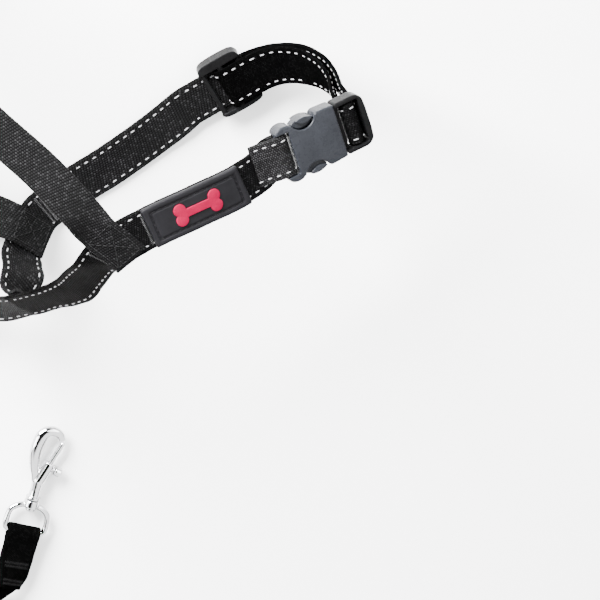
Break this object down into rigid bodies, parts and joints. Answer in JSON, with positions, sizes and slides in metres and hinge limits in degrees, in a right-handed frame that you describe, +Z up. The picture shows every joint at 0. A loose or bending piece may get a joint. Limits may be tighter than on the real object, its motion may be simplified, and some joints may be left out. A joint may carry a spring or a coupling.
{
  "type": "head halter",
  "caption": "Dog head halter in black webbing: padded noseband, cheek and neck straps, side-release buckle, slider, rubber label, rings and a safety link with trigger snap.",
  "frame": {"origin": "bottom centre of the bounding box of the halter lying on its far side", "axes": "+Z up from the table, +X from the throat to the nape, +Y towards the nose loop"},
  "size_m": [0.2745, 0.3156, 0.1129],
  "materials": {
    "black_webbing": "woven with reflective stitching",
    "plain_webbing": "twill weave",
    "neoprene": "soft knit faced foam",
    "buckle_plastic": "satin moulded",
    "slider_plastic": "satin moulded",
    "chrome": "polished",
    "label_rubber": "matt moulded",
    "motif_rubber": "raised",
    "thread": "zigzag bar tack"
  },
  "bodies": {
    "halter": {"neck_strap_near": "black_webbing", "neck_strap_near_throat": "black_webbing", "neck_strap_far": "black_webbing", "neck_strap_far_throat": "black_webbing", "adjuster_outer_layer": "black_webbing", "adjuster_inner_layer": "black_webbing", "neck_strap_buckle_fold": "black_webbing", "throat_strap": "black_webbing", "control_loop_throat": "black_webbing", "cheek_strap_near": "plain_webbing", "cheek_strap_far": "plain_webbing", "cheek_loop_near": "plain_webbing", "cheek_loop_far": "plain_webbing", "chin_strap_near": "plain_webbing", "chin_strap_far": "plain_webbing", "chin_loop_near": "plain_webbing", "chin_loop_far": "plain_webbing", "control_loop_chin_near": "plain_webbing", "control_loop_chin_far": "plain_webbing", "noseband_webbing": "plain_webbing", "nose_loop_near": "plain_webbing", "nose_loop_far": "plain_webbing", "noseband_pad": "neoprene", "buckle_female": "buckle_plastic", "label": "label_rubber", "label_motif": "motif_rubber", "bartack_near_joint_low": "thread", "bartack_near_joint_high": "thread", "bartack_far_joint": "thread"},
    "male_half": {"buckle_male": "buckle_plastic", "adjuster_buckle_fold": "black_webbing"},
    "prong_nose": {"prong_nose_side": "buckle_plastic"},
    "prong_shoulder": {"prong_shoulder_side": "buckle_plastic"},
    "slider_group": {"slider": "slider_plastic", "slider_strap_tail": "black_webbing"},
    "near_ring": {"side_ring_near": "chrome"},
    "far_ring": {"side_ring_far": "chrome"},
    "lead_ring": {"control_ring": "chrome"},
    "safety_link": {"link_ring_loop": "black_webbing", "safety_link_ring_end": "black_webbing", "safety_link_snap_end": "black_webbing", "link_eye_loop": "black_webbing"},
    "snap_eye_group": {"snap_eye": "chrome"},
    "snap_group": {"snap_body": "chrome"},
    "bolt_group": {"snap_bolt": "chrome"}
  },
  "joints": [
    {"name": "buckle_release", "type": "slide", "parent": "halter", "child": "male_half", "axis": [0.948, -0.153, -0.279], "range_m": [0, 0.028], "deforming": ["prong_nose_side", "prong_shoulder_side"]},
    {"name": "prong_nose_squeeze", "type": "hinge", "parent": "male_half", "child": "prong_nose", "pos_m": [0.12142, 0.01334, 0.0852], "axis": [0.2747, -0.049, 0.9603], "range_deg": [0, 10], "stiffness_Nm_per_rad": 0.02},
    {"name": "prong_shoulder_squeeze", "type": "hinge", "parent": "male_half", "child": "prong_shoulder", "pos_m": [0.1185, -0.00463, 0.08512], "axis": [-0.2747, 0.049, -0.9603], "range_deg": [0, 10], "stiffness_Nm_per_rad": 0.02},
    {"name": "slider_adjust", "type": "slide", "parent": "halter", "child": "slider_group", "axis": [-0.9957, -0.06, -0.0701], "range_m": [0, 0.009]},
    {"name": "near_ring_turn", "type": "hinge", "parent": "halter", "child": "near_ring", "pos_m": [-0.0323, 0.1242, 0.08295], "axis": [0, 0, 1], "continuous": true},
    {"name": "far_ring_turn", "type": "hinge", "parent": "halter", "child": "far_ring", "pos_m": [-0.0443, 0.1082, 0.00354], "axis": [0, 0, 1], "continuous": true},
    {"name": "lead_ring_turn", "type": "hinge", "parent": "halter", "child": "lead_ring", "pos_m": [-0.0783, 0.0702, 0.00354], "axis": [0, 0, 1], "continuous": true},
    {"name": "safety_link_swing", "type": "hinge", "parent": "halter", "child": "safety_link", "pos_m": [-0.0783, 0.0702, 0.00354], "axis": [0, 0, 1], "range_deg": [-10, 10]},
    {"name": "snap_eye_lift", "type": "hinge", "parent": "safety_link", "child": "snap_eye_group", "pos_m": [-0.0895, -0.1307, 0.00375], "axis": [0.7422, -0.6702, 0], "range_deg": [0, 80]},
    {"name": "snap_swivel", "type": "hinge", "parent": "snap_eye_group", "child": "snap_group", "pos_m": [-0.0895, -0.1307, 0.00375], "axis": [0.6702, 0.7422, 0], "continuous": true},
    {"name": "snap_bolt_pull", "type": "slide", "parent": "snap_group", "child": "bolt_group", "axis": [-0.8604, -0.5097, 0], "range_m": [0, 0.007], "stiffness_N_per_m": 250, "springref_m": -0.002}
  ],
  "couplings": [
    {"joint": "prong_shoulder_squeeze", "follows": "prong_nose_squeeze", "ratio": 1}
  ]
}
